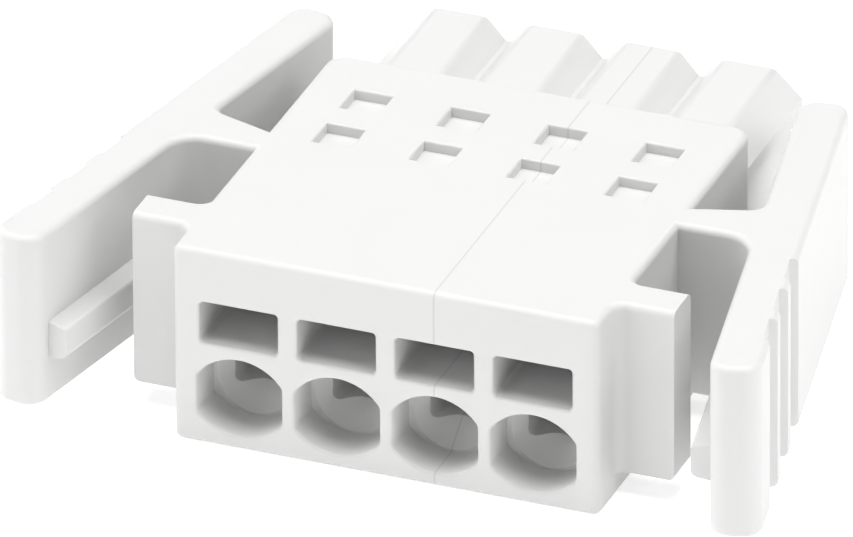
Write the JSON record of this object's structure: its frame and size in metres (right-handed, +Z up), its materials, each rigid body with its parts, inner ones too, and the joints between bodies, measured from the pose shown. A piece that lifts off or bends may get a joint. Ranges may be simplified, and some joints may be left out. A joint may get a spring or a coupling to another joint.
{
  "type": "multi-pin connector",
  "caption": "Cable plug with a row of spring-clamp wire entries at the front, mating towers at the rear and a latch lever on each side.",
  "frame": {"origin": "middle of the body's bottom face, half way between its two sides and half way between the wire-entry face and the shoulder", "axes": "+X across the poles to the right seen from the wire entries, +Y towards the mating end, +Z up to the face with the pockets"},
  "size_m": [0.0194, 0.0155, 0.0052],
  "materials": {
    "housing": "satin white moulded plastic",
    "contact": "tinned copper alloy",
    "spring": "bare spring steel"
  },
  "bodies": {
    "root": {"housing": "housing", "contact_1": "contact", "contact_2": "contact", "contact_3": "contact", "contact_4": "contact", "clamp_spring_1": "spring", "clamp_spring_2": "spring", "clamp_spring_3": "spring", "clamp_spring_4": "spring"}
  },
  "joints": []
}
